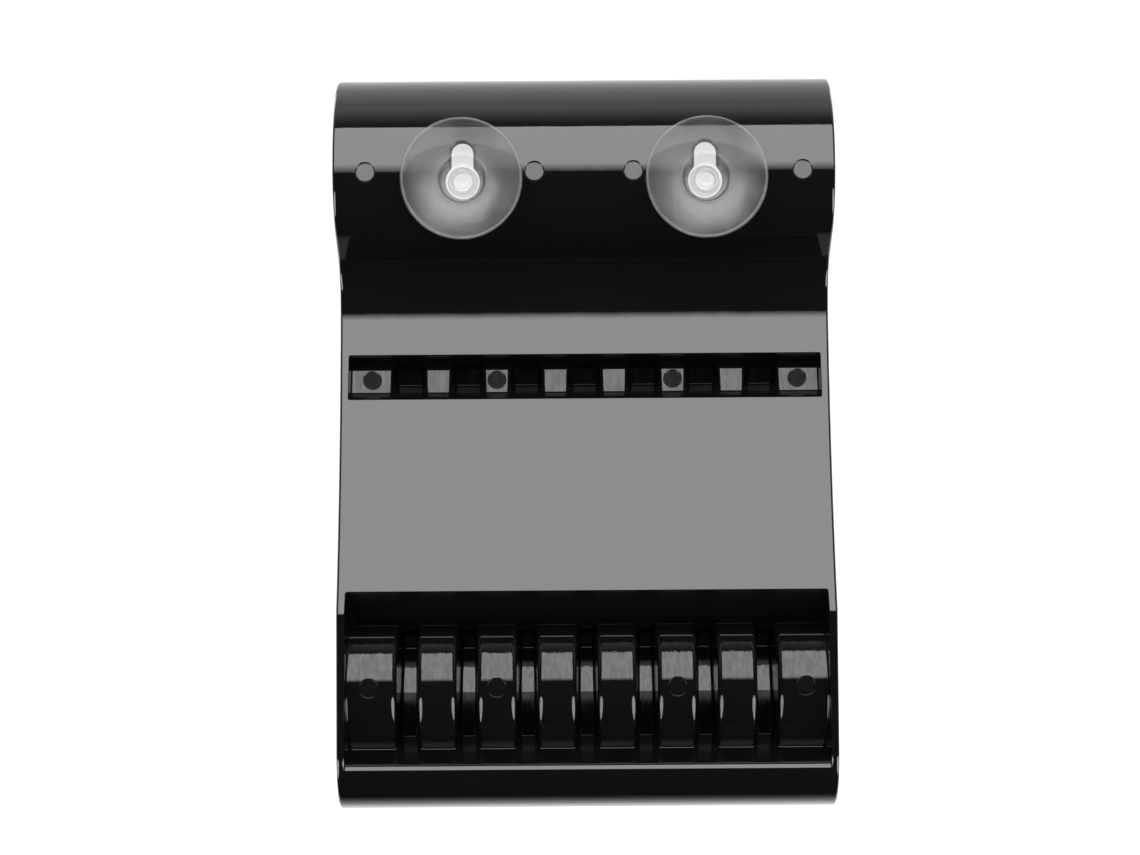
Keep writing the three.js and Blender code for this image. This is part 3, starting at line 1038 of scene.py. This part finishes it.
def add_lights():
    """A tall key softbox with a feathered lower edge, and boxes at the sides."""
    lower = Vector((0, -0.89, 0.122))
    upper = Vector((0, -1.06, 1.51))
    rise = (upper - lower).normalized()
    facing = Vector((0, rise.z, -rise.y))
    middle = (lower + upper) / 2
    add_softbox("key_softbox", middle, middle + facing, KEY_WIDTH, (upper - lower).length,
                KEY_RADIANCE)
    for step in range(FEATHERS):
        strip = lower - rise * FEATHER_WIDTH * (step + 0.5)
        add_softbox("key_feather", strip, strip + facing, KEY_WIDTH, FEATHER_WIDTH,
                    KEY_RADIANCE * (FEATHERS - step) / (FEATHERS + 1))
    for side in (-1, 1):
        add_softbox("low_side_box", (side * 0.62, -0.42, -0.5), (0, 0.02, -0.12), 1.05, 0.42,
                    8.0, "ELLIPSE")
        add_softbox("room_side_box", (side * 1.1, 0.9, 0.7), (0, 0.03, -0.08), 0.5, 1.2, 4.0)


def add_world():
    """White surroundings, which gloss mirrors as a ramp of brightness over the height."""
    world = bpy.data.worlds.new("studio")
    bpy.context.scene.world = world
    world.use_nodes = True
    nodes, links = world.node_tree.nodes, world.node_tree.links
    plain = nodes["Background"]
    plain.inputs["Color"].default_value = (1, 1, 1, 1)
    plain.inputs["Strength"].default_value = 1.12
    mirrored = nodes.new("ShaderNodeBackground")
    direction = nodes.new("ShaderNodeTexCoord").outputs["Generated"]
    split = nodes.new("ShaderNodeSeparateXYZ")
    links.new(direction, split.inputs[0])
    away = math_node(nodes, links, "MULTIPLY", split.outputs[1], -1.0)
    angle = math_node(nodes, links, "ARCTAN2", split.outputs[2], away)
    share = remap(nodes, links, angle, -math.pi, math.pi, 0.0, 1.0)
    ramp = nodes.new("ShaderNodeValToRGB")
    stops = ((-180, 1.2), (-135, 2.2), (-118, 1.2), (-106, 0.35), (-97, 0.01), (0, 0.01),
             (52, 0.03), (60, 0.14), (68, 0.5), (77, 0.98), (84, 1.25), (91, 1.1),
             (101, 1.3), (180, 1.2))
    elements = ramp.color_ramp.elements
    while len(elements) < len(stops):
        elements.new(0.5)
    for element, (degrees, value) in zip(elements, stops):
        element.position = (degrees + 180) / 360
        element.color = (value, value, value, 1)
    links.new(share, ramp.inputs["Fac"])
    links.new(ramp.outputs["Color"], mirrored.inputs["Color"])
    path = nodes.new("ShaderNodeLightPath")
    mix = nodes.new("ShaderNodeMixShader")
    links.new(path.outputs["Is Glossy Ray"], mix.inputs["Fac"])
    links.new(plain.outputs[0], mix.inputs[1])
    links.new(mirrored.outputs[0], mix.inputs[2])
    links.new(mix.outputs[0], nodes["World Output"].inputs["Surface"])


def add_floor():
    """A plain pale floor below the rack."""
    mesh = bpy.data.meshes.new("floor")
    size, height = 6.0, cad_low.z - 0.16
    mesh.from_pydata([(-size, -size, height), (size, -size, height), (size, size, height),
                      (-size, size, height)], [], [(0, 1, 2, 3)])
    floor = bpy.data.objects.new("floor", mesh)
    bpy.context.scene.collection.objects.link(floor)
    material, _, _, shader = new_material("pale_floor")
    shader.inputs["Base Color"].default_value = (0.93, 0.93, 0.93, 1)
    shader.inputs["Roughness"].default_value = 0.9
    mesh.materials.append(material)
    floor.visible_glossy = False


# ---------------------------------------------------------------- scene

add_camera()
add_world()
add_lights()
add_floor()

shell_build = build_shell()
shell = mesh_object("rack_shell_moulding", shell_build.points, shell_build.faces,
                    shell_build.normals)
shell.data.materials.append(black_plastic())
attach(shell, "rack")
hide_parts("rack_shell")

vinyl = clear_vinyl()
for side, sign in (("left", -1), ("right", 1)):
    cup = build_cup(f"suction_cup_{side}_vinyl", f"cup_{side}", sign * KEYHOLE_X)
    cup.data.materials.append(vinyl)
    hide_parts(f"suction_cup_{side}")

bpy.context.scene.view_settings.view_transform = "Standard"
